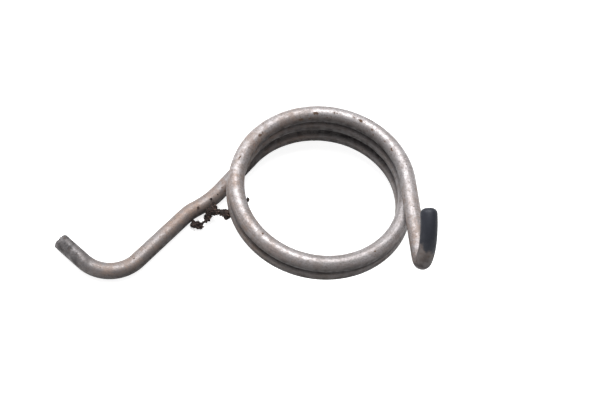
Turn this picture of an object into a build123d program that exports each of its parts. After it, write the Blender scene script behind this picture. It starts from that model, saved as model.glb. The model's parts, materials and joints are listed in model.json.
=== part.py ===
"""A torsion spring bent from one length of round wire.

The coil stands upright on +Z with its lowest turn and its long leg on the floor plane z = 0.
The wire runs from a hook at the top, down about two and a half left-hand turns, and leaves
the lowest turn as a long cranked leg. Its clump of trodden-in dirt is a second, soft piece.
"""

import math
import os

from build123d import *

# Wire
wire_diameter = 3.0

# Coil, its turns counted from the hook downwards
coil_mean_radius = 15.55
coil_spread = 0.25  # the lowest turn's radius is this much larger than the top one's
coil_start_angle = 14.2  # where the wire leaves the top turn, from +X
coil_turns = 2.386
turn_clearance = 0.04  # between turns that were wound touching
last_turn_opening = 1.6  # how far the last turn has sprung down from its neighbour
opening_start = 1.77  # turns down from the hook where it begins to open
opening_length = 0.7  # turns over which it opens
lean_x = -0.08  # sideways slip of the coil at each turn down
lean_y = 0.21
arcs_per_turn = 12

# Hook at the top of the coil
hook_leg_length = 15.82
hook_fold_radius = 2.0
hook_fold_angle = 84.0
hook_back_radius = 7.6
hook_back_angle = 68.7
hook_plane_angle = 88.5  # 90 would fold the hook straight up over its leg
hook_return_length = 1.6
hook_nose_radius = 1.0

# Long leg at the bottom of the coil
leg_first_run = 8.3
crank_out_angle = 18.5
crank_out_radius = 18.0
crank_middle_run = 0.7
crank_back_angle = 15.3
crank_back_radius = 7.5
leg_long_run = 12.7
end_bend_angle = 92.0
end_bend_radius = 6.65
end_run = 6.0
end_burr_chamfer = 0.2

# Clump of dirt that bridges the long leg and the middle turn
dirt_along_leg = 14.2  # from where the leg leaves the coil
dirt_turns_above_leg = 0.848  # how far up the coil it meets the wire, from where the leg leaves
dirt_radius = 1.15
dirt_sides = 7

wire_radius = wire_diameter / 2
coil_pitch = wire_diameter + turn_clearance
up = Vector(0, 0, 1)
small_step = 0.001  # of a turn, to read the coil's heading


def smooth_step(share):
    """0 before 0, 1 after 1, and a level start and end between them."""
    share = min(max(share, 0.0), 1.0)
    return share * share * (3 - 2 * share)


def coil_drop(turn):
    """How far the wire's middle lies under the start of the coil, after so many turns."""
    opened = smooth_step((turn - opening_start) / opening_length)
    return coil_pitch * turn + last_turn_opening * opened


def coil_point(turn):
    """The wire's middle after so many turns, with the long leg's middle a radius off the floor."""
    angle = math.radians(coil_start_angle) + 2 * math.pi * turn
    radius = coil_mean_radius + coil_spread * turn / coil_turns
    height = wire_radius + coil_drop(coil_turns) - coil_drop(turn)
    return Vector(
        radius * math.cos(angle) + lean_x * turn,
        radius * math.sin(angle) + lean_y * turn,
        height,
    )


class Route:
    """A line of straight runs and tangent bends, grown from one end."""

    def __init__(self, start, heading):
        self.point = start
        self.heading = heading.normalized()
        self.edges = []

    def run(self, length):
        """Goes straight on."""
        end = self.point + self.heading * length
        self.edges.append(Edge.make_line(self.point, end))
        self.point = end

    def bend(self, radius, angle, side):
        """Turns towards a side by an angle in degrees."""
        side = (side - self.heading * side.dot(self.heading)).normalized()
        turn = math.radians(angle)
        end = self.point + self.heading * (radius * math.sin(turn)) + side * (radius * (1 - math.cos(turn)))
        self.edges.append(Edge.make_tangent_arc(self.point, self.heading, end))
        self.heading = self.heading * math.cos(turn) + side * math.sin(turn)
        self.point = end

    def arc_to(self, end):
        """Goes to a point on the arc that carries on smoothly."""
        arc = Edge.make_tangent_arc(self.point, self.heading, end)
        self.edges.append(arc)
        self.heading = arc % 1
        self.point = end


def make_coil_route():
    """The turns, as short tangent arcs from the hook's leg down to the long leg."""
    first_step = coil_point(small_step) - coil_point(0)
    route = Route(coil_point(0), first_step)
    arc_count = math.ceil(coil_turns * arcs_per_turn)
    for number in range(1, arc_count + 1):
        route.arc_to(coil_point(coil_turns * number / arc_count))
    return route


def make_hook_route(start, heading):
    """The leg that leaves the top turn and folds back over itself."""
    route = Route(start, heading)
    route.run(hook_leg_length)
    outwards = (up.cross(heading)).normalized()
    plane_angle = math.radians(hook_plane_angle)
    route.bend(hook_fold_radius, hook_fold_angle, outwards * math.cos(plane_angle) + up * math.sin(plane_angle))
    route.bend(hook_back_radius, hook_back_angle, heading * -1)
    route.run(hook_return_length)
    return route


def make_leg_route(start, heading):
    """The long leg, level from where it leaves the coil, with its shallow crank and bent end."""
    route = Route(start, heading)
    slope = math.degrees(math.asin(-heading.Z))
    route.bend(coil_mean_radius, slope, up)
    route.run(leg_first_run)
    right = route.heading.cross(up)
    route.bend(crank_out_radius, crank_out_angle, right)
    route.run(crank_middle_run)
    left = route.heading.cross(up) * -1
    route.bend(crank_back_radius, crank_back_angle, left)
    route.run(leg_long_run)
    right = route.heading.cross(up)
    route.bend(end_bend_radius, end_bend_angle, right)
    route.run(end_run)
    return route


def round_end(body, tip):
    """Rounds the sheared end nearest to a point into a nose."""
    end_face = body.faces().sort_by_distance(tip)[0]
    return fillet(end_face.edges(), hook_nose_radius)


def break_end(body, tip):
    """Takes the sharp edge off the end nearest to a point."""
    end_face = body.faces().sort_by_distance(tip)[0]
    return chamfer(end_face.edges(), end_burr_chamfer)


def make_spring(hook, coil, leg):
    """The wire, swept along its whole route."""
    path = Wire(hook.edges + coil.edges + leg.edges)
    section = Plane(origin=path @ 0, z_dir=path % 0) * Circle(wire_radius)
    spring = sweep(section, path=path)
    spring = round_end(spring, hook.point)
    return break_end(spring, leg.point)


def make_dirt(spring, leg_start, leg_heading):
    """A rough strand from the long leg up to the coil, cut to the wire that it sticks to."""
    first = leg_start + leg_heading * dirt_along_leg
    strand = coil_point(coil_turns - dirt_turns_above_leg) - first
    section = Plane(origin=first, z_dir=strand) * RegularPolygon(dirt_radius, dirt_sides)
    return extrude(section, amount=strand.length) - spring


def main():
    coil = make_coil_route()
    hook = make_hook_route(coil_point(0), coil_point(0) - coil_point(small_step))
    leg = make_leg_route(coil.point, coil.heading)
    spring = make_spring(hook, coil, leg)
    leg_direction = Vector(coil.heading.X, coil.heading.Y, 0).normalized()
    dirt = make_dirt(spring, coil.point, leg_direction)
    to_floor = Pos(0, 0, -spring.bounding_box().min.Z)
    os.makedirs("parts", exist_ok=True)
    for name, piece in (("spring_wire", spring), ("dirt_clump", dirt)):
        placed = to_floor * piece
        placed.label = name
        export_step(placed, f"parts/{name}.step")
        print(name, "volume", placed.volume, "box", placed.bounding_box())
    wire_length = sum(edge.length for edge in hook.edges + coil.edges + leg.edges)
    print("wire length", wire_length, "swept volume", wire_length * math.pi * wire_radius**2)
    print("hook tip", hook.point, hook.heading)
    print("leg tip", leg.point, leg.heading)


main()
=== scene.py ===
import json
import math
import random

import bmesh
import bpy
import numpy as np
from bpy.props import FloatProperty, FloatVectorProperty, IntProperty, PointerProperty
from mathutils import Matrix, Vector, noise


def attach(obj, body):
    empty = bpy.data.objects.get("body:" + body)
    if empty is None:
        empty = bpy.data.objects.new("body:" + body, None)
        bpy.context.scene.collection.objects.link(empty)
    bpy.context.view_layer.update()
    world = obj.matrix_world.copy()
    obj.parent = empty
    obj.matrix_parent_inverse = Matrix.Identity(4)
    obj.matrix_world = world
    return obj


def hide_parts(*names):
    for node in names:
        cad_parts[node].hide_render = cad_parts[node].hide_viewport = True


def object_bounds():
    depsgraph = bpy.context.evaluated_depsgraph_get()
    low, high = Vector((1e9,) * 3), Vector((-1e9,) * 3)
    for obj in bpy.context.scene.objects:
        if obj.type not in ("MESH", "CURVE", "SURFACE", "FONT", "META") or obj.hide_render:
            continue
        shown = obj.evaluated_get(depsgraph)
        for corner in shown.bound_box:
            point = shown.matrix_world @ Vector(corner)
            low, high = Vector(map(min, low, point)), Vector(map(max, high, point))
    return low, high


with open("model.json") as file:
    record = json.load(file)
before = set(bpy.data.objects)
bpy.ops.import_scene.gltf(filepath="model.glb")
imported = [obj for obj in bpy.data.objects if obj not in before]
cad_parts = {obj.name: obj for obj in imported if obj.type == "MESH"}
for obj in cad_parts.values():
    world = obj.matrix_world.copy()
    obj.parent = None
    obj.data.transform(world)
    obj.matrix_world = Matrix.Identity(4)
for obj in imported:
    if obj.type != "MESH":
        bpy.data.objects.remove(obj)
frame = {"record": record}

bl_info = {
    "name": "Torsion Spring",
    "version": (1, 0, 0),
    "blender": (4, 5, 0),
    "location": "View3D > Sidebar > Spring",
    "description": "Builds the worn wire of a torsion spring, the dirt stuck to it and its stage",
    "category": "Add Mesh",
}

MM = 0.001
UP = Vector((0, 0, 1))
TINY_TURN = 0.001  # of a turn, to read the coil's heading
CAD_BOX = [list(map(float, corner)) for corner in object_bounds()]
MOUNTS = {mount["name"]: mount for mount in frame["record"]["mounts"]}
WIRE_RADIUS = MOUNTS["leg_end"]["dims"]["r_mm"] * MM


# ---------------------------------------------------------------- sizes


def length(name, description, default):
    """A length property, given in millimetres."""
    return FloatProperty(name=name, description=description, default=default * MM, unit="LENGTH", precision=5)


def angle(name, description, default):
    """An angle property, given in degrees."""
    return FloatProperty(name=name, description=description, default=math.radians(default), subtype="ANGLE")


def colour(name, description, default):
    """A colour property."""
    return FloatVectorProperty(name=name, description=description, default=default, size=3, subtype="COLOR")


class WireSizes(bpy.types.PropertyGroup):
    """The wire's thickness and the line it follows."""

    wire_radius: FloatProperty(
        name="Wire radius",
        description="Half the wire's thickness",
        default=WIRE_RADIUS,
        unit="LENGTH",
        precision=5,
    )
    coil_radius: length("Coil radius", "From the coil's axis to the wire's middle, at the top turn", 15.55)
    coil_spread: length("Coil spread", "How much larger the lowest turn's radius is", 0.25)
    coil_start: angle("Coil start", "Where the wire leaves the top turn, from +X", 14.2)
    coil_turns: FloatProperty(
        name="Coil turns", description="Turns from the hook's leg to the long leg", default=2.386
    )
    turn_clearance: length("Turn clearance", "Gap between turns that were wound touching", 0.04)
    turn_opening: length("Turn opening", "How far the last turn has sprung down from its neighbour", 1.6)
    opening_start: FloatProperty(name="Opening start", description="Turns down where it opens", default=1.77)
    opening_turns: FloatProperty(name="Opening turns", description="Turns over which it opens", default=0.7)
    lean_x: length("Lean X", "Sideways slip of the coil at each turn down", -0.08)
    lean_y: length("Lean Y", "Sideways slip of the coil at each turn down", 0.21)
    hook_leg: length("Hook leg", "Straight run from the top turn to the hook", 15.82)
    fold_radius: length("Fold radius", "Bend radius of the wire's middle in the hook's tight fold", 2.0)
    fold_angle: angle("Fold angle", "How far the tight fold turns", 84.0)
    back_radius: length("Back radius", "Bend radius of the wire's middle over the hook's back", 7.6)
    back_angle: angle("Back angle", "How far the hook's back turns", 68.7)
    hook_tilt: angle("Hook tilt", "The hook's plane, 90 degrees being upright", 88.5)
    hook_return: length("Hook return", "Straight run from the hook's back to its tip", 1.6)
    hook_nose: length("Hook nose", "Rounding of the hook's tip", 1.0)
    leg_first: length("Leg first run", "Straight run from the coil to the crank", 8.3)
    crank_out_angle: angle("Crank out", "First turn of the shallow crank", 18.5)
    crank_out_radius: length("Crank out radius", "Its bend radius", 18.0)
    crank_middle: length("Crank middle", "Straight run inside the crank", 0.7)
    crank_back_angle: angle("Crank back", "Second turn of the shallow crank", 15.3)
    crank_back_radius: length("Crank back radius", "Its bend radius", 7.5)
    leg_long: length("Leg long run", "Straight run from the crank to the end bend", 12.7)
    end_angle: angle("End bend", "How far the leg's end is turned", 92.0)
    end_radius: length("End bend radius", "Its bend radius", 6.65)
    end_run: length("End run", "Straight run after the end bend", 6.0)
    end_chamfer: length("End chamfer", "Edge broken off the sheared end", 0.2)
    station_gap: length("Station gap", "Spacing of the rings of faces along the wire", 0.26)
    sides: IntProperty(name="Sides", description="Faces round the wire", default=56, min=12, max=96)


class SteelLook(bpy.types.PropertyGroup):
    """Colours and polish of the worn wire."""

    # bare is the colour where the painted light falls as well as where the wire is worn bright; grey is the
    # painted shaded side as well as the thin oxidised film in specks and drawn lines.
    bare: colour("Bare steel", "Rubbed, clean steel", (0.40, 0.38, 0.385))
    grey: colour("Grey oxide", "Thin even oxide on wire that is not rubbed", (0.115, 0.105, 0.106))
    tan: colour("Tan tarnish", "Warm tarnish in blotches", (0.27, 0.185, 0.14))
    # dark is also the painted shade on the wire's shaded side and where the turns lie on each other, besides
    # the real oxidised leg end.
    dark: colour("Dark oxide", "Nearly black oxide and grime in hollows", (0.020, 0.018, 0.019))
    rust: colour("Rust", "Small rust scabs", (0.075, 0.042, 0.026))
    black: colour("Black end", "Blackened end of the hook", (0.012, 0.014, 0.022))
    black_length: length("Black length", "Blackened length from the hook's tip", 7.0)
    seed: IntProperty(name="Seed", description="Seed of the wear", default=4)


class DirtLook(bpy.types.PropertyGroup):
    """Colours and grain of the dried dirt."""

    dark: colour("Dark dirt", "Its deepest crumbs", (0.012, 0.010, 0.010))
    brown: colour("Brown dirt", "Its driest crumbs", (0.13, 0.08, 0.064))
    crumb_size: length("Crumb size", "Radius of a middling crumb", 0.12)
    fibre_length: length("Fibre length", "Length of a middling fibre", 0.75)
    seed: IntProperty(name="Seed", description="Seed of the crumbs and fibres", default=7)


class StageSizes(bpy.types.PropertyGroup):
    """Floor, lights and camera."""

    floor_size: FloatProperty(name="Floor size", description="Side of the floor", default=6.0, unit="LENGTH")
    elevation: angle("Elevation", "The camera's height above the horizon", 58.0)
    roll: angle("Roll", "The camera's tilt to one side", -10.9)
    distance: length("Distance", "From the top turn's middle to the camera", 240.0)
    slide_right: length("Slide right", "The camera's shift to the right of the coil", -3.52)
    slide_up: length("Slide up", "The camera's shift upwards in the picture", -3.87)
    focal_length: FloatProperty(name="Focal length", description="Lens, on a 36 mm wide film", default=79.83)


# ---------------------------------------------------------------- node helpers


def add_node(tree, kind, inputs=None, **settings):
    """Adds a node, sets it up, and fills or links its inputs."""
    node = tree.nodes.new(kind)
    for name, value in settings.items():
        setattr(node, name, value)
    for key, value in (inputs or {}).items():
        if isinstance(value, bpy.types.NodeSocket):
            tree.links.new(value, node.inputs[key])
        else:
            node.inputs[key].default_value = value
    return node


def maths(tree, operation, first, second=0.0, third=0.0, clamp=False):
    """One Math node's result."""
    inputs = {0: first, 1: second, 2: third}
    return add_node(tree, "ShaderNodeMath", inputs, operation=operation, use_clamp=clamp).outputs[0]


def ramp(tree, value, low, high, out_low=0.0, out_high=1.0):
    """Smoothly maps a value's range low to high onto out_low to out_high."""
    inputs = {"Value": value, "From Min": low, "From Max": high, "To Min": out_low, "To Max": out_high}
    return add_node(tree, "ShaderNodeMapRange", inputs, interpolation_type="SMOOTHSTEP").outputs[0]


def mix_colour(tree, share, first, second):
    """One colour Mix node's result."""
    node = add_node(tree, "ShaderNodeMix", data_type="RGBA")
    pairs = zip(("Factor_Float", "A_Color", "B_Color"), (share, first, second))
    for identifier, value in pairs:
        socket = next(s for s in node.inputs if s.identifier == identifier)
        if isinstance(value, bpy.types.NodeSocket):
            tree.links.new(value, socket)
        else:
            socket.default_value = value if identifier == "Factor_Float" else (*value, 1)
    return next(s for s in node.outputs if s.identifier == "Result_Color")


def new_group(name, kind, inputs, outputs):
    """A node group with named sockets, with its input and output nodes."""
    tree = bpy.data.node_groups.new(name, kind)
    for direction, sockets in (("INPUT", inputs), ("OUTPUT", outputs)):
        for label, socket_type, default in sockets:
            socket = tree.interface.new_socket(label, in_out=direction, socket_type=socket_type)
            if default is not None:
                socket.default_value = default
    return tree, tree.nodes.new("NodeGroupInput"), tree.nodes.new("NodeGroupOutput")


def socket_id(tree, label):
    """The identifier of a group's input."""
    for item in tree.interface.items_tree:
        if item.item_type == "SOCKET" and item.in_out == "INPUT" and item.name == label:
            return item.identifier
    raise RuntimeError(f"{tree.name} has no input {label}")


def run_tree(obj, tree, values, name):
    """The plain mesh that a geometry tree makes of an object, which is then deleted."""
    modifier = obj.modifiers.new("Build", "NODES")
    modifier.node_group = tree
    for label, value in values.items():
        modifier[socket_id(tree, label)] = value
    obj.update_tag()
    depsgraph = bpy.context.evaluated_depsgraph_get()
    depsgraph.update()
    mesh = bpy.data.meshes.new_from_object(obj.evaluated_get(depsgraph), depsgraph=depsgraph)
    obj.modifiers.remove(modifier)
    bpy.data.objects.remove(obj)
    mesh.name = name
    return mesh


def place(name, mesh, smooth=True):
    """A finished mesh as an object at the origin."""
    if not mesh.vertices:
        raise RuntimeError(f"{name} came out empty")
    mesh.polygons.foreach_set("use_smooth", [smooth] * len(mesh.polygons))
    piece = bpy.data.objects.new(name, mesh)
    bpy.context.scene.collection.objects.link(piece)
    return piece


def read_vectors(collection, field, width=3):
    """A mesh collection's vectors as an array."""
    flat = np.empty(len(collection) * width)
    collection.foreach_get(field, flat)
    return flat.reshape(-1, width)


def smooth_step(low, high, value):
    """0 below low, 1 above high, and smooth between, on numbers or arrays."""
    share = np.clip((value - low) / (high - low), 0, 1)
    return share * share * (3 - 2 * share)


# ---------------------------------------------------------------- the wire's route


def coil_drop(sizes, turn):
    """How far the wire's middle lies under the coil's start after so many turns."""
    opened = smooth_step(0, 1, (turn - sizes.opening_start) / sizes.opening_turns)
    return (2 * sizes.wire_radius + sizes.turn_clearance) * turn + sizes.turn_opening * opened


def coil_point(sizes, turn):
    """The wire's middle after so many turns down from the hook's leg."""
    around = sizes.coil_start + 2 * math.pi * turn
    radius = sizes.coil_radius + sizes.coil_spread * turn / sizes.coil_turns
    height = sizes.wire_radius + coil_drop(sizes, sizes.coil_turns) - coil_drop(sizes, turn)
    x = radius * math.cos(around) + sizes.lean_x * turn
    y = radius * math.sin(around) + sizes.lean_y * turn
    return Vector((x, y, height))


class Route:
    """Stations along straight runs and tangent bends, grown from one end."""

    def __init__(self, start, heading, gap):
        self.stations = [start.copy()]
        self.heading = heading.normalized()
        self.gap = gap

    def run(self, distance):
        """Goes straight on."""
        start = self.stations[-1]
        count = max(1, round(distance / self.gap))
        self.stations += [start + self.heading * (distance * step / count) for step in range(1, count + 1)]

    def bend(self, radius, turn, side):
        """Turns towards a side by an angle."""
        side = (side - self.heading * side.dot(self.heading)).normalized()
        start, heading = self.stations[-1], self.heading.copy()
        count = max(2, round(radius * turn / self.gap))
        for step in range(1, count + 1):
            part = turn * step / count
            sideways = side * (radius * (1 - math.cos(part)))
            self.stations.append(start + heading * (radius * math.sin(part)) + sideways)
        self.heading = heading * math.cos(turn) + side * math.sin(turn)


def wire_stations(sizes):
    """The wire's middle line from hook tip to leg tip, and where the coil begins and ends."""
    gap = sizes.station_gap
    leaving = coil_point(sizes, 0) - coil_point(sizes, TINY_TURN)
    hook = Route(coil_point(sizes, 0), leaving, gap)
    hook.run(sizes.hook_leg)
    outwards = UP.cross(leaving).normalized()
    fold_side = outwards * math.cos(sizes.hook_tilt) + UP * math.sin(sizes.hook_tilt)
    hook.bend(sizes.fold_radius, sizes.fold_angle, fold_side)
    hook.bend(sizes.back_radius, sizes.back_angle, -leaving)
    hook.run(sizes.hook_return)
    count = round(sizes.coil_turns * 2 * math.pi * sizes.coil_radius / gap)
    coil = [coil_point(sizes, sizes.coil_turns * step / count) for step in range(1, count)]
    arriving = coil_point(sizes, sizes.coil_turns) - coil_point(sizes, sizes.coil_turns - TINY_TURN)
    leg = Route(coil_point(sizes, sizes.coil_turns), arriving, gap)
    leg.bend(sizes.coil_radius, math.asin(-leg.heading.z), UP)
    leg.run(sizes.leg_first)
    leg.bend(sizes.crank_out_radius, sizes.crank_out_angle, leg.heading.cross(UP))
    leg.run(sizes.crank_middle)
    leg.bend(sizes.crank_back_radius, sizes.crank_back_angle, -leg.heading.cross(UP))
    leg.run(sizes.leg_long)
    leg.bend(sizes.end_radius, sizes.end_angle, leg.heading.cross(UP))
    leg.run(sizes.end_run)
    lift = Vector((0, 0, sizes.wire_radius - leg.stations[-1].z))
    line = [point + lift for point in hook.stations[::-1] + coil + leg.stations]
    return line, len(hook.stations) - 1, len(hook.stations) + len(coil) - 1


def tapered_ends(sizes, line):
    """The stations with closer ones at both ends, each with the wire's radius there."""
    radius, nose, chamfer = sizes.wire_radius, sizes.hook_nose, sizes.end_chamfer
    hook_tip, hook_way = line[0], (line[1] - line[0]).normalized()
    leg_tip, leg_way = line[-1], (line[-2] - line[-1]).normalized()
    stations = []
    flat = radius - nose
    for share in (0.02, 0.35, 0.7):
        stations.append((hook_tip + hook_way * (0.004 * MM + 0.02 * MM * share), flat * share))
    for step in range(9):
        part = 0.5 * math.pi * step / 8
        depth = 0.03 * MM + nose * (1 - math.cos(part))
        stations.append((hook_tip + hook_way * depth, flat + nose * math.sin(part)))
    for point in line:
        if (point - hook_tip).length > nose * 1.1 and (point - leg_tip).length > 1.1 * MM:
            stations.append((point, radius))
    for depth in (1.0, 0.8, 0.6, 0.45, 0.3):
        stations.append((leg_tip + leg_way * (depth * MM), radius))
    stations.append((leg_tip + leg_way * chamfer, radius))
    stations.append((leg_tip + leg_way * (0.35 * chamfer), radius - 0.3 * chamfer))
    for share in (0.97, 0.86, 0.68, 0.48, 0.26, 0.02):
        stations.append((leg_tip + leg_way * (0.03 * MM * share + 0.004 * MM), (radius - chamfer) * share))
    return stations


def route_curve(name, stations, unit_radius):
    """A poly curve through the stations, whose point radius is a share of the unit radius."""
    curve = bpy.data.curves.new(name, "CURVE")
    curve.dimensions = "3D"
    curve.twist_mode = "MINIMUM"
    spline = curve.splines.new("POLY")
    spline.points.add(len(stations) - 1)
    for point, (place_at, radius) in zip(spline.points, stations):
        point.co = (*place_at, 1)
        point.radius = radius / unit_radius
    obj = bpy.data.objects.new(name, curve)
    bpy.context.scene.collection.objects.link(obj)
    return obj


# ---------------------------------------------------------------- steel


def wire_tree():
    """Sweeps a circle along the stations, scaled by the radius of each."""
    inputs = [
        ("Route", "NodeSocketGeometry", None),
        ("Wire Radius", "NodeSocketFloat", WIRE_RADIUS),
        ("Sides", "NodeSocketInt", 56),
        ("Material", "NodeSocketMaterial", None),
    ]
    outputs = [("Wire", "NodeSocketGeometry", None)]
    tree, start, end = new_group("Wire Sweep", "GeometryNodeTree", inputs, outputs)
    entry = start.outputs
    point_radius = add_node(tree, "GeometryNodeInputRadius").outputs[0]
    circle_inputs = {"Resolution": entry["Sides"], "Radius": entry["Wire Radius"]}
    circle = add_node(tree, "GeometryNodeCurvePrimitiveCircle", circle_inputs, mode="RADIUS").outputs["Curve"]
    sweep = {
        "Curve": entry["Route"],
        "Profile Curve": circle,
        "Scale": point_radius,
        "Fill Caps": True,
    }
    wire = add_node(tree, "GeometryNodeCurveToMesh", sweep).outputs["Mesh"]
    painted = {"Geometry": wire, "Material": entry["Material"]}
    wire = add_node(tree, "GeometryNodeSetMaterial", painted).outputs[0]
    wire = add_node(tree, "GeometryNodeRealizeInstances", {"Geometry": wire}).outputs[0]
    tree.links.new(wire, end.inputs["Wire"])
    return tree


def section_frames(line):
    """Each station's middle, heading, and its outward and upward directions across the wire."""
    points = np.array([tuple(point) for point in line])
    heading = np.gradient(points, axis=0)
    heading /= np.linalg.norm(heading, axis=1)[:, None]
    upward = np.array([0.0, 0.0, 1.0]) - heading * heading[:, 2:3]
    upward /= np.maximum(np.linalg.norm(upward, axis=1), 1e-6)[:, None]
    return points, heading, np.cross(heading, upward), upward


def store(mesh, name, values):
    """Stores one number for each point of a mesh."""
    attribute = mesh.attributes.get(name) or mesh.attributes.new(name, "FLOAT", "POINT")
    attribute.data.foreach_set("value", np.asarray(values, dtype=np.float32))


def store_vectors(mesh, name, values):
    """Stores one vector for each point of a mesh."""
    attribute = mesh.attributes.new(name, "FLOAT_VECTOR", "POINT")
    attribute.data.foreach_set("vector", np.asarray(values, dtype=np.float32).ravel())


def grain(points, size, seed, octaves=3):
    """Smooth noise of about -1 to 1 at each point, with features of a size."""
    shift = Vector((seed * 3.1, seed * 7.7, seed * 1.3))
    return np.array([noise.fractal(Vector(p) / size + shift, 1.0, 2.0, octaves) for p in points])


def close_poles_outwards(mesh):
    """Merges doubles and makes the faces point outwards."""
    shape = bmesh.new()
    shape.from_mesh(mesh)
    bmesh.ops.remove_doubles(shape, verts=shape.verts, dist=1e-7)
    bmesh.ops.recalc_face_normals(shape, faces=shape.faces)
    if shape.calc_volume(signed=True) < 0:
        bmesh.ops.reverse_faces(shape, faces=shape.faces)
    shape.to_mesh(mesh)
    shape.free()


# Rust scabs on the top turn: turns down from the hook, section angle, size in mm
SCABS = (
    (0.374, 116, 0.55), (0.279, 156, 0.45), (0.261, 160, 0.35), (0.249, 120, 0.5), (0.209, 108, 0.35),
    (0.172, 104, 0.3), (0.158, 108, 0.42), (0.129, 124, 0.35), (0.094, 128, 0.3), (0.070, 128, 0.35),
    (0.440, 84, 0.35), (0.61, 96, 0.22), (0.83, 70, 0.25), (0.93, 60, 0.3),
)


def weather_wire(mesh, sizes, look, stations, line, coil_first, coil_last):
    """Stores the wear of every point of the wire, and the painted light and shade from which way each point
    faces and where the turns lie on each other, and gives the surface its scabs, pits and waviness.
    """
    sides = sizes.sides
    radius = sizes.wire_radius
    points = read_vectors(mesh.vertices, "co")
    count = len(stations)
    station = np.minimum(np.arange(len(points)) // sides, count - 1)
    middles, heading, outward, upward = section_frames([entry[0] for entry in stations])
    across = points - middles[station]
    cos_out = (across * outward[station]).sum(axis=1)
    sin_up = (across * upward[station]).sum(axis=1)
    angles = np.arctan2(sin_up, cos_out)
    steps = np.r_[0, np.cumsum(np.linalg.norm(np.diff(middles, axis=0), axis=1))]
    along = steps[station]
    first = steps[np.argmin(np.linalg.norm(middles - np.array(line[coil_first]), axis=1))]
    last = steps[np.argmin(np.linalg.norm(middles - np.array(line[coil_last]), axis=1))]
    turns = (along - first) / (last - first) * sizes.coil_turns
    spin = 2 * np.pi * (np.arange(len(points)) % sides) / sides
    normal = across / np.maximum(np.linalg.norm(across, axis=1), 1e-9)[:, None]
    store_vectors(mesh, "wire_space", np.c_[along, radius * np.cos(spin), radius * np.sin(spin)])

    scab = np.zeros(len(points))
    for turn, section, size in SCABS:
        away = (turns - turn) * 2 * np.pi * sizes.coil_radius
        over = (np.remainder(angles - math.radians(section) + np.pi, 2 * np.pi) - np.pi) * radius
        scab = np.maximum(scab, np.exp(-((away / (1.1 * size * MM)) ** 2 + (over / (0.5 * size * MM)) ** 2)))
    random.seed(look.seed)
    for _ in range(150):
        away = along - random.uniform(0.004, steps[-1])
        over = (np.remainder(spin - random.uniform(0, 2 * np.pi) + np.pi, 2 * np.pi) - np.pi) * radius
        size = random.uniform(0.08, 0.2) * MM
        scab = np.maximum(scab, 0.8 * np.exp(-((away / size) ** 2 + (over / size) ** 2)))
    rough = grain(points, 0.3 * MM, look.seed)
    scab = scab * np.clip(0.8 + 1.7 * rough, 0, 1.4)

    wavy = grain(points, 5 * MM, look.seed + 1, 2)
    pits = np.clip(grain(points, 0.35 * MM, look.seed + 2, 2) - 0.35, 0, 1)
    lift = 0.05 * MM * np.clip(scab, 0, 1) - 0.02 * MM * (wavy + 1) * 0.5 - 0.03 * MM * pits
    to_tip = steps[-1] - along
    inside = smooth_step(0.0, 1.2 * MM, along) * smooth_step(0.0, 1.2 * MM, to_tip)
    torn = 1 - smooth_step(0.0, 0.7 * MM, to_tip)
    torn = torn * np.clip(grain(points, 0.9 * MM, look.seed + 5) + 0.25, 0, 1)
    points = points + normal * (lift * inside)[:, None] - heading[station] * (0.4 * MM * torn)[:, None]

    on_coil = smooth_step(-0.01, 0.03, turns) * smooth_step(-0.01, 0.03, sizes.coil_turns - turns)
    # Painted shade where the turns lie on each other: under a turn that has one below it, and on top of a
    # turn under the one above.
    has_turn_below = smooth_step(0.0, 0.1, sizes.coil_turns - 1 - turns)
    groove_below = np.exp(-(((angles + np.pi / 2) / 1.35) ** 4)) * has_turn_below
    groove_above = np.exp(-(((angles - np.pi / 2) / 0.88) ** 4)) * smooth_step(0.98, 1.04, turns)
    groove_shade = on_coil * np.maximum(groove_below, groove_above)
    edge = look.black_length * (1 + 0.12 * grain(points, 1.1 * MM, look.seed + 3, 2))
    edge = edge - 0.9 * MM * np.cos(angles)
    black = 1 - smooth_step(-0.35 * MM, 0.35 * MM, along - edge)
    around = np.arctan2(points[:, 1], points[:, 0])
    left_side = np.clip(-np.cos(around), 0, 1) * on_coil
    hook_part = smooth_step(0, 9 * MM, along) * (1 - smooth_step(-0.04, 0.02, turns))
    leg_part = smooth_step(sizes.coil_turns - 0.08, sizes.coil_turns + 0.02, turns)
    leg_end = 1 - smooth_step(4 * MM, 11 * MM, steps[-1] - along)
    coil_warmth = 0.35 * on_coil + 0.65 * left_side
    warmth = np.maximum.reduce([coil_warmth, 0.95 * hook_part, 0.8 * leg_part * (1 - leg_end)])
    lower_turns = smooth_step(0.75, 1.2, turns)
    store(mesh, "warmth", warmth * (1 - 0.5 * (along < 12 * MM)))
    store(mesh, "tarnish", np.clip(0.75 * lower_turns + 0.25 * leg_part, 0, 1))
    store(mesh, "leg_end", leg_end)
    store(mesh, "scab", np.clip(scab, 0, 1))
    store(mesh, "groove_shade", groove_shade)
    store(mesh, "black_end", black)
    # Painted light: facing is each point's normal against a fixed lamp direction, one for the coil and one
    # for the long leg; the colour is paler where it is high and darker where it is low.
    coil_light_side = normal @ np.array([-0.15, 0.35, 0.92])
    leg_light_side = normal @ np.array([-0.62, 0.28, 0.74])
    store(mesh, "facing", coil_light_side + (leg_light_side - coil_light_side) * leg_part)
    return points


def blotch_group():
    """Blotches of two sizes along a wire, as a mask of 0 to 1."""
    inputs = [
        ("Vector", "NodeSocketVector", None),
        ("Scale", "NodeSocketFloat", 300.0),
        ("Low", "NodeSocketFloat", 0.45),
        ("High", "NodeSocketFloat", 0.65),
        ("Detail", "NodeSocketFloat", 5.0),
    ]
    tree, start, end = new_group("Blotches", "ShaderNodeTree", inputs, [("Mask", "NodeSocketFloat", None)])
    entry = start.outputs
    cloud_inputs = {key: entry[key] for key in ("Vector", "Scale", "Detail")}
    cloud = add_node(tree, "ShaderNodeTexNoise", {**cloud_inputs, "Roughness": 0.62}).outputs[0]
    tree.links.new(ramp(tree, cloud, entry["Low"], entry["High"]), end.inputs["Mask"])
    return tree


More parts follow.
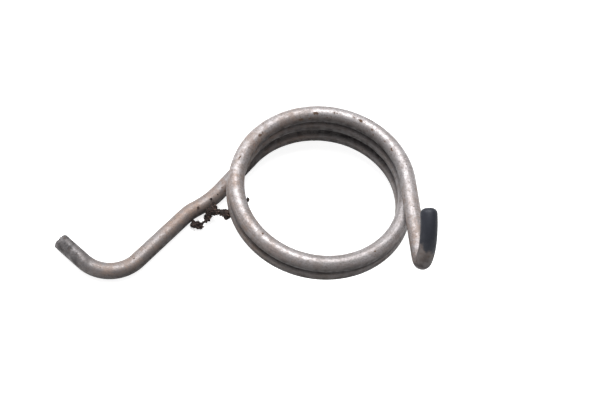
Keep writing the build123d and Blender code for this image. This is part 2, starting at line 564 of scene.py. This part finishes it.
def draw_lines_group():
    """Fine lines drawn along the wire by its die, as a height of 0 to 1."""
    inputs = [
        ("Vector", "NodeSocketVector", None),
        ("Stretch", "NodeSocketFloat", 0.02),
        ("Scale", "NodeSocketFloat", 4200.0),
    ]
    outputs = [("Height", "NodeSocketFloat", None)]
    tree, start, end = new_group("Draw Lines", "ShaderNodeTree", inputs, outputs)
    entry = start.outputs
    parts = add_node(tree, "ShaderNodeSeparateXYZ", {0: entry["Vector"]}).outputs
    squeezed = maths(tree, "MULTIPLY", parts[0], entry["Stretch"])
    joined = add_node(tree, "ShaderNodeCombineXYZ", {0: squeezed, 1: parts[1], 2: parts[2]}).outputs[0]
    line_inputs = {"Vector": joined, "Scale": entry["Scale"], "Detail": 3.0, "Roughness": 0.6}
    lines = add_node(tree, "ShaderNodeTexNoise", line_inputs)
    tree.links.new(lines.outputs[0], end.inputs["Height"])
    return tree


def group_node(tree, group, inputs):
    """A placed shader group's outputs."""
    return add_node(tree, "ShaderNodeGroup", inputs, node_tree=group).outputs


def blotch_mask(tree, blotches, vector, scale, low, high, detail=5.0):
    """A mask of 0 to 1 from the shared blotches."""
    inputs = {"Vector": vector, "Scale": scale, "Low": low, "High": high, "Detail": detail}
    return group_node(tree, blotches, inputs)["Mask"]


def read_attribute(tree, name, output="Fac"):
    """A stored number or vector of the surface."""
    return add_node(tree, "ShaderNodeAttribute", attribute_name=name).outputs[output]


def empty_material(name):
    """A node material with its output and an unlinked Principled shader."""
    material = bpy.data.materials.new(name)
    material.use_nodes = True
    tree = material.node_tree
    tree.nodes.clear()
    shader = add_node(tree, "ShaderNodeBsdfPrincipled")
    out = add_node(tree, "ShaderNodeOutputMaterial")
    tree.links.new(shader.outputs[0], out.inputs["Surface"])
    return material, tree, shader


def spring_steel(look, blotches, lines):
    """Worn spring steel: paler where painted light falls and where worn bare, darker with painted shade on
    its shaded side and between the turns, tarnished tan, oxidised dark, rusty in scabs, black at the hook.
    """
    material, tree, shader = empty_material("spring_steel")
    space = read_attribute(tree, "wire_space", "Vector")
    place_at = add_node(tree, "ShaderNodeTexCoord").outputs["Object"]
    scab = read_attribute(tree, "scab")
    groove_shade = read_attribute(tree, "groove_shade")
    black = read_attribute(tree, "black_end")
    facing = read_attribute(tree, "facing")
    broad = blotch_mask(tree, blotches, place_at, 180.0, 0.40, 0.62)
    fine = blotch_mask(tree, blotches, place_at, 900.0, 0.42, 0.62, 8.0)
    specks = blotch_mask(tree, blotches, place_at, 2600.0, 0.60, 0.70, 2.0)
    pepper = blotch_mask(tree, blotches, place_at, 3400.0, 0.38, 0.66, 4.0)
    drawn = group_node(tree, lines, {"Vector": space})["Height"]
    warmth = read_attribute(tree, "warmth")
    tarnish = read_attribute(tree, "tarnish")
    leg_end = read_attribute(tree, "leg_end")
    mottle = maths(tree, "MULTIPLY_ADD", broad, 0.45, maths(tree, "MULTIPLY", fine, 0.45))
    # Painted light: the side turned towards the lamps gets the pale bare colour, broken up by the mottle and
    # by the tarnish.
    lit_and_rubbed = ramp(tree, facing, -0.25, 0.95)
    lit_and_rubbed = maths(tree, "MULTIPLY", lit_and_rubbed, maths(tree, "MULTIPLY_ADD", mottle, -0.55, 1.05))
    lit_and_rubbed = maths(tree, "MULTIPLY", lit_and_rubbed, maths(tree, "MULTIPLY_ADD", tarnish, -0.62, 1.0))
    steel = mix_colour(tree, lit_and_rubbed, look.grey, look.bare)
    tan_share = maths(tree, "MULTIPLY", warmth, maths(tree, "MULTIPLY_ADD", mottle, 1.0, 0.15), clamp=True)
    # The tan is also weaker where the painted light falls.
    tan_share = maths(tree, "MULTIPLY", tan_share, maths(tree, "MULTIPLY_ADD", lit_and_rubbed, -0.45, 1.0))
    steel = mix_colour(tree, tan_share, steel, look.tan)
    steel = mix_colour(tree, maths(tree, "MULTIPLY", pepper, 0.5), steel, look.grey)
    steel = mix_colour(tree, maths(tree, "MULTIPLY", ramp(tree, drawn, 0.40, 0.65), 0.30), steel, look.grey)
    # Painted shade: the side turned away from the lamps darkens.
    under = ramp(tree, facing, 0.42, -0.50)
    # Painted shade on the shaded side and where the turns touch, joined by the real oxidised patches at the
    # leg's end.
    oxide_and_shade = maths(tree, "MAXIMUM", maths(tree, "MULTIPLY", under, 0.93), groove_shade)
    end_patches = blotch_mask(tree, blotches, space, 420.0, 0.40, 0.58)
    end_oxide = maths(tree, "MULTIPLY", leg_end, maths(tree, "MULTIPLY_ADD", end_patches, 0.75, 0.2))
    oxide_and_shade = maths(tree, "MAXIMUM", oxide_and_shade, end_oxide)
    oxide_and_shade = maths(tree, "MULTIPLY", oxide_and_shade, maths(tree, "MULTIPLY_ADD", fine, 0.25, 0.75))
    steel = mix_colour(tree, oxide_and_shade, steel, look.dark)
    steel = mix_colour(tree, maths(tree, "MULTIPLY", specks, 0.45), steel, look.rust)
    rust = ramp(tree, scab, 0.12, 0.5)
    steel = mix_colour(tree, rust, steel, look.rust)
    steel = mix_colour(tree, black, steel, look.black)
    tree.links.new(steel, shader.inputs["Base Color"])
    dulled = maths(tree, "MAXIMUM", rust, oxide_and_shade)
    dulled = maths(tree, "MAXIMUM", dulled, maths(tree, "MULTIPLY", black, 0.55))
    tree.links.new(ramp(tree, dulled, 0.0, 1.0, 0.45, 0.05), shader.inputs["Metallic"])
    polish = maths(tree, "MULTIPLY_ADD", fine, 0.14, 0.40)
    polish = maths(tree, "MULTIPLY_ADD", warmth, 0.10, polish)
    polish = maths(tree, "MULTIPLY_ADD", dulled, 0.34, polish)
    tree.links.new(polish, shader.inputs["Roughness"])
    height = maths(tree, "MULTIPLY_ADD", drawn, 0.35, maths(tree, "MULTIPLY", pepper, 0.35))
    height = maths(tree, "MULTIPLY_ADD", specks, 0.5, height)
    bump = add_node(tree, "ShaderNodeBump", {"Strength": 0.35, "Distance": 0.00004, "Height": height})
    tree.links.new(bump.outputs[0], shader.inputs["Normal"])
    return material


# ---------------------------------------------------------------- dirt

# Lumps of dirt: along the leg from the coil, towards the coil, height, radius, all in mm
CLUMP_LUMPS = (
    (12.8, 1.4, 2.8, 0.42), (13.3, 1.9, 2.9, 0.58), (14.2, 1.6, 2.2, 0.72), (13.8, 2.5, 2.7, 0.68),
    (13.6, 3.2, 3.1, 0.58), (13.45, 3.9, 3.5, 0.58), (13.45, 4.5, 4.0, 0.66), (13.6, 5.1, 4.5, 0.72),
    (14.2, 5.4, 4.6, 0.52), (14.8, 1.8, 1.8, 0.56), (15.3, 2.0, 1.6, 0.46), (15.1, 1.5, 1.3, 0.42),
    (15.7, 1.9, 1.4, 0.26), (15.95, 1.8, 1.3, 0.23), (16.2, 1.75, 1.25, 0.22), (16.45, 1.7, 1.2, 0.22),
    (16.7, 1.6, 1.15, 0.26), (16.9, 1.4, 1.15, 0.38), (17.1, 1.1, 1.1, 0.52), (17.6, 0.9, 1.1, 0.58),
    (17.9, 0.6, 1.1, 0.42), (17.3, 0.4, 1.2, 0.40), (17.1, 1.9, 1.0, 0.36), (17.6, 1.5, 0.9, 0.34),
)
STUCK_LUMPS = (
    (16.2, -1.3, 2.5, 0.2), (15.8, -1.0, 2.8, 0.16), (15.2, -0.4, 2.95, 0.16), (12.2, 0.3, 3.0, 0.18),
    (10.6, 0.6, 2.85, 0.14), (18.4, 0.2, 3.0, 0.12),
)


def leg_place(sizes, along, left, height):
    """A point given along the long leg, towards the coil and above the floor, in mm."""
    end = coil_point(sizes, sizes.coil_turns)
    heading = end - coil_point(sizes, sizes.coil_turns - TINY_TURN)
    heading.z = 0
    heading.normalize()
    side = UP.cross(heading)
    spot = end + heading * (along * MM) + side * (left * MM)
    return Vector((spot.x, spot.y, height * MM))


def lump_mesh(name, spots, voxel, seed):
    """One lumpy skin over round lumps, each given as its middle and radius."""
    shape = bmesh.new()
    for middle, radius in spots:
        made = bmesh.ops.create_icosphere(shape, subdivisions=3, radius=radius)
        bmesh.ops.translate(shape, verts=made["verts"], vec=middle)
    mesh = bpy.data.meshes.new(name)
    shape.to_mesh(mesh)
    shape.free()
    obj = bpy.data.objects.new(name, mesh)
    bpy.context.scene.collection.objects.link(obj)
    remesh = obj.modifiers.new("Skin", "REMESH")
    remesh.mode = "VOXEL"
    remesh.voxel_size = voxel
    depsgraph = bpy.context.evaluated_depsgraph_get()
    skin = bpy.data.meshes.new_from_object(obj.evaluated_get(depsgraph), depsgraph=depsgraph)
    bpy.data.objects.remove(obj)
    points = read_vectors(skin.vertices, "co")
    normals = read_vectors(skin.vertex_normals, "vector")
    lumps = grain(points, 0.55 * MM, seed, 3)
    crumbs = grain(points, 0.2 * MM, seed + 1, 2)
    points = points + normals * (0.2 * MM * lumps + 0.07 * MM * crumbs)[:, None]
    skin.vertices.foreach_set("co", points.ravel())
    skin.update()
    store(skin, "shade", 0.35 + 0.3 * lumps)
    skin.name = name
    return skin


def fibre_mesh(name, length_along, thickness, sides=5, steps=7):
    """A thin hair that bends as it rises from the origin."""
    shape = bmesh.new()
    rings = []
    for step in range(steps + 1):
        share = step / steps
        bend = 0.5 * share * share
        rise = length_along * share * (1 - 0.25 * share)
        middle = Vector((length_along * bend, 0.12 * length_along * math.sin(4 * share), rise))
        thin = thickness * (1 - 0.75 * share)
        ring = []
        for side in range(sides):
            turn = 2 * math.pi * side / sides
            ring.append(shape.verts.new(middle + Vector((thin * math.cos(turn), thin * math.sin(turn), 0))))
        rings.append(ring)
    for low, high in zip(rings, rings[1:]):
        for side in range(sides):
            following = (side + 1) % sides
            shape.faces.new((low[side], low[following], high[following], high[side]))
    shape.faces.new(rings[0][::-1])
    shape.faces.new(rings[-1])
    mesh = bpy.data.meshes.new(name)
    shape.to_mesh(mesh)
    shape.free()
    return mesh


def crumb_tree():
    """Scatters crumbs and fibres over a clump, each with its own shade."""
    inputs = [
        ("Clump", "NodeSocketGeometry", None),
        ("Crumb", "NodeSocketObject", None),
        ("Fibre", "NodeSocketObject", None),
        ("Crumb Density", "NodeSocketFloat", 9e6),
        ("Fibre Density", "NodeSocketFloat", 4e6),
        ("Seed", "NodeSocketInt", 7),
        ("Material", "NodeSocketMaterial", None),
    ]
    outputs = [("Dirt", "NodeSocketGeometry", None)]
    tree, start, end = new_group("Dirt Scatter", "GeometryNodeTree", inputs, outputs)
    entry = start.outputs
    parts = []
    for number, (label, low, high) in enumerate((("Crumb", 0.45, 1.5), ("Fibre", 0.35, 1.3))):
        seed = maths_in(tree, entry["Seed"], number * 11)
        scatter = {"Mesh": entry["Clump"], "Density": entry[f"{label} Density"], "Seed": seed}
        spots = add_node(tree, "GeometryNodeDistributePointsOnFaces", scatter, distribute_method="RANDOM")
        shape = add_node(tree, "GeometryNodeObjectInfo", {"Object": entry[label]}).outputs["Geometry"]
        scale = add_node(tree, "FunctionNodeRandomValue", data_type="FLOAT")
        scale.inputs["Min"].default_value, scale.inputs["Max"].default_value = low, high
        tree.links.new(seed, scale.inputs["Seed"])
        tilt = add_node(tree, "FunctionNodeRandomValue", data_type="FLOAT_VECTOR")
        swing = math.pi if label == "Crumb" else 0.9
        tilt.inputs["Min"].default_value, tilt.inputs["Max"].default_value = (-swing,) * 3, (swing,) * 3
        tree.links.new(seed, tilt.inputs["Seed"])
        turning = {0: spots.outputs["Rotation"], 1: tilt.outputs["Value"]}
        turned = add_node(tree, "FunctionNodeRotateRotation", turning, rotation_space="LOCAL")
        placed = {"Points": spots.outputs["Points"], "Instance": shape, "Rotation": turned.outputs[0]}
        instances = add_node(tree, "GeometryNodeInstanceOnPoints", placed)
        tree.links.new(next(s for s in scale.outputs if s.enabled), instances.inputs["Scale"])
        shade = add_node(tree, "FunctionNodeRandomValue", data_type="FLOAT")
        shade.inputs["Seed"].default_value = 31 + number
        stored = add_node(
            tree,
            "GeometryNodeStoreNamedAttribute",
            {"Geometry": instances.outputs[0]},
            data_type="FLOAT",
            domain="INSTANCE",
        )
        stored.inputs["Name"].default_value = "shade"
        tree.links.new(next(s for s in shade.outputs if s.enabled), stored.inputs["Value"])
        parts.append(stored.outputs[0])
    joined = add_node(tree, "GeometryNodeJoinGeometry")
    for part in (entry["Clump"], *parts):
        tree.links.new(part, joined.inputs[0])
    solid = add_node(tree, "GeometryNodeRealizeInstances", {"Geometry": joined.outputs[0]}).outputs[0]
    painted = {"Geometry": solid, "Material": entry["Material"]}
    solid = add_node(tree, "GeometryNodeSetMaterial", painted).outputs[0]
    tree.links.new(solid, end.inputs["Dirt"])
    return tree


def maths_in(tree, value, extra):
    """A whole number with something added to it."""
    return add_node(tree, "FunctionNodeIntegerMath", {0: value, 1: extra}, operation="ADD").outputs[0]


def dried_dirt(look, blotches):
    """Dried dirt: nearly black crumbs and fibres among drier brown ones."""
    material, tree, shader = empty_material("dried_dirt")
    place_at = add_node(tree, "ShaderNodeTexCoord").outputs["Object"]
    shade = read_attribute(tree, "shade")
    clouds = blotch_mask(tree, blotches, place_at, 900.0, 0.42, 0.62)
    dust = blotch_mask(tree, blotches, place_at, 5200.0, 0.45, 0.65)
    dry = maths(tree, "MULTIPLY", ramp(tree, shade, 0.35, 1.0), maths(tree, "MULTIPLY_ADD", clouds, 0.7, 0.3))
    soil = mix_colour(tree, dry, look.dark, look.brown)
    soil = mix_colour(tree, maths(tree, "MULTIPLY", dust, 0.3), soil, look.brown)
    tree.links.new(soil, shader.inputs["Base Color"])
    shader.inputs["Specular IOR Level"].default_value = 0.25
    tree.links.new(ramp(tree, dust, 0.0, 1.0, 0.85, 0.98), shader.inputs["Roughness"])
    bump = add_node(tree, "ShaderNodeBump", {"Strength": 0.6, "Distance": 0.00005, "Height": dust})
    tree.links.new(bump.outputs[0], shader.inputs["Normal"])
    return material


def build_dirt(name, spots, look, material):
    """Skins the lumps and scatters crumbs and fibres over them."""
    skin = lump_mesh(name + "_skin", spots, 0.11 * MM, look.seed)
    host = bpy.data.objects.new(name + "_host", skin)
    shape = bmesh.new()
    bmesh.ops.create_icosphere(shape, subdivisions=1, radius=look.crumb_size)
    for vertex in shape.verts:
        vertex.co *= 1 + 0.35 * noise.noise(vertex.co / look.crumb_size + Vector((5, 2, 9)))
    crumb = bpy.data.meshes.new("crumb")
    shape.to_mesh(crumb)
    shape.free()
    models = [bpy.data.objects.new("crumb_model", crumb)]
    models.append(bpy.data.objects.new("fibre_model", fibre_mesh("fibre", look.fibre_length, 0.035 * MM)))
    for obj in (host, *models):
        bpy.context.scene.collection.objects.link(obj)
    tree = bpy.data.node_groups.get("Dirt Scatter") or crumb_tree()
    values = {"Crumb": models[0], "Fibre": models[1], "Seed": look.seed, "Material": material}
    mesh = run_tree(host, tree, values, name)
    for model in models:
        bpy.data.objects.remove(model)
    return mesh


# ---------------------------------------------------------------- operators


class SPRING_OT_wire(bpy.types.Operator):
    """Builds the bent wire with its wear"""

    bl_idname = "spring.wire"
    bl_label = "Wire"

    def execute(self, context):
        sizes, look = context.scene.spring_wire_sizes, context.scene.spring_steel_look
        line, coil_first, coil_last = wire_stations(sizes)
        stations = tapered_ends(sizes, line)
        material = spring_steel(look, blotch_group(), draw_lines_group())
        route = route_curve("wire_route", stations, sizes.wire_radius)
        values = {"Wire Radius": sizes.wire_radius, "Sides": sizes.sides, "Material": material}
        mesh = run_tree(route, wire_tree(), values, "worn_wire")
        if len(mesh.vertices) != len(stations) * sizes.sides:
            raise RuntimeError("the wire has lost some of its stations")
        points = weather_wire(mesh, sizes, look, stations, line, coil_first, coil_last)
        mesh.vertices.foreach_set("co", np.clip(points, CAD_BOX[0], CAD_BOX[1]).ravel())
        close_poles_outwards(mesh)
        wire = place("worn_wire", mesh)
        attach(wire, "root")
        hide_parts("spring_wire")
        return {"FINISHED"}


class SPRING_OT_dirt(bpy.types.Operator):
    """Builds the clump of dirt and the bits stuck along the wire"""

    bl_idname = "spring.dirt"
    bl_label = "Dirt"

    def execute(self, context):
        sizes, look = context.scene.spring_wire_sizes, context.scene.spring_dirt_look
        material = dried_dirt(look, bpy.data.node_groups["Blotches"])
        spots = [(leg_place(sizes, *lump[:3]), lump[3] * MM) for lump in CLUMP_LUMPS]
        clump = place("crumbly_dirt", build_dirt("crumbly_dirt", spots, look, material))
        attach(clump, "root")
        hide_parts("dirt_clump")
        spots = [(leg_place(sizes, *lump[:3]), lump[3] * MM) for lump in STUCK_LUMPS]
        spots.append((Vector((-12.74, -5.66, 8.7)) * MM, 0.3 * MM))
        bits = place("stuck_bits", build_dirt("stuck_bits", spots, look, material))
        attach(bits, "root")
        return {"FINISHED"}


def floor_material():
    """A pale floor that looks nearly white to the camera and in reflections, but for its soft shadow."""
    material = bpy.data.materials.new("pale_floor")
    material.use_nodes = True
    tree = material.node_tree
    tree.nodes.clear()
    matt = add_node(tree, "ShaderNodeBsdfDiffuse", {"Color": (0.55, 0.55, 0.55, 1)})
    path = add_node(tree, "ShaderNodeLightPath").outputs
    seen = maths(tree, "MAXIMUM", path["Is Camera Ray"], path["Is Glossy Ray"])
    seen = maths(tree, "MAXIMUM", seen, path["Is Transmission Ray"])
    strength = maths(tree, "MULTIPLY", seen, 0.86)
    glow = add_node(tree, "ShaderNodeEmission", {"Color": (1, 1, 1, 1), "Strength": strength})
    both = add_node(tree, "ShaderNodeAddShader", {0: matt.outputs[0], 1: glow.outputs[0]})
    out = add_node(tree, "ShaderNodeOutputMaterial")
    tree.links.new(both.outputs[0], out.inputs["Surface"])
    return material


def white_world():
    """A low fill light that the camera sees as white, straight on or through glass."""
    world = bpy.data.worlds.new("studio_fill")
    world.use_nodes = True
    tree = world.node_tree
    tree.nodes.clear()
    path = add_node(tree, "ShaderNodeLightPath").outputs
    seen = maths(tree, "MAXIMUM", path["Is Camera Ray"], path["Is Transmission Ray"])
    strength = ramp(tree, seen, 0.0, 1.0, 0.32, 1.0)
    sky = add_node(tree, "ShaderNodeBackground", {"Color": (1, 1, 1, 1), "Strength": strength})
    out = add_node(tree, "ShaderNodeOutputWorld")
    tree.links.new(sky.outputs[0], out.inputs["Surface"])
    bpy.context.scene.world = world


def area_light(name, at, towards, size, power):
    """A soft square lamp."""
    lamp = bpy.data.lights.new(name, "AREA")
    lamp.size = size
    lamp.energy = power
    obj = bpy.data.objects.new(name, lamp)
    obj.location = at
    obj.rotation_euler = (Vector(towards) - Vector(at)).to_track_quat("-Z", "Y").to_euler()
    bpy.context.scene.collection.objects.link(obj)


class SPRING_OT_stage(bpy.types.Operator):
    """Builds the floor, the soft lights and the camera"""

    bl_idname = "spring.stage"
    bl_label = "Stage"

    def execute(self, context):
        stage, sizes = context.scene.spring_stage, context.scene.spring_wire_sizes
        shape = bmesh.new()
        bmesh.ops.create_grid(shape, x_segments=1, y_segments=1, size=stage.floor_size / 2)
        mesh = bpy.data.meshes.new("pale_floor")
        shape.to_mesh(mesh)
        shape.free()
        mesh.materials.append(floor_material())
        place("pale_floor", mesh, smooth=False)
        white_world()
        area_light("key_light", (-0.08, 0.16, 0.66), (0, 0, 0.01), 0.34, 6.5)
        area_light("side_light", (-0.46, 0.30, 0.48), (0, 0, 0.01), 0.30, 3.0)
        height = coil_point(sizes, 0).z
        lean = stage.elevation
        right, up = Vector((1, 0, 0)), Vector((0, math.sin(lean), math.cos(lean)))
        back = Vector((0, -math.cos(lean), math.sin(lean)))
        at = Vector((0, 0, height)) + right * stage.slide_right + up * stage.slide_up + back * stage.distance
        camera = bpy.data.objects.new("camera", bpy.data.cameras.new("camera"))
        camera.data.lens = stage.focal_length
        camera.data.sensor_width = 36
        camera.data.clip_start = 0.005
        turned_right = right * math.cos(stage.roll) - up * math.sin(stage.roll)
        turned_up = right * math.sin(stage.roll) + up * math.cos(stage.roll)
        facing = Matrix((turned_right, turned_up, back)).transposed().to_4x4()
        camera.matrix_world = Matrix.Translation(at) @ facing
        context.scene.collection.objects.link(camera)
        context.scene.camera = camera
        context.scene.view_settings.view_transform = "Standard"
        return {"FINISHED"}


class SPRING_PT_panel(bpy.types.Panel):
    """Lists the spring's pieces"""

    bl_idname = "SPRING_PT_panel"
    bl_label = "Torsion Spring"
    bl_space_type = "VIEW_3D"
    bl_region_type = "UI"
    bl_category = "Spring"

    def draw(self, context):
        for operator in OPERATORS:
            self.layout.operator(operator.bl_idname)
        for name, group in SETTINGS.items():
            box = self.layout.box()
            for label in group.__annotations__:
                box.prop(getattr(context.scene, name), label)


OPERATORS = (SPRING_OT_wire, SPRING_OT_dirt, SPRING_OT_stage)
SETTINGS = {
    "spring_wire_sizes": WireSizes,
    "spring_steel_look": SteelLook,
    "spring_dirt_look": DirtLook,
    "spring_stage": StageSizes,
}


def register():
    """Registers the settings, operators and panel."""
    for group in (*SETTINGS.values(), *OPERATORS, SPRING_PT_panel):
        bpy.utils.register_class(group)
    for name, group in SETTINGS.items():
        setattr(bpy.types.Scene, name, PointerProperty(type=group))


def unregister():
    """Takes them away again."""
    for name in SETTINGS:
        delattr(bpy.types.Scene, name)
    for group in (SPRING_PT_panel, *reversed(OPERATORS), *reversed(SETTINGS.values())):
        bpy.utils.unregister_class(group)


def main():
    """Builds everything."""
    register()
    bpy.ops.spring.wire()
    bpy.ops.spring.dirt()
    bpy.ops.spring.stage()


if __name__ == "__main__":
    main()
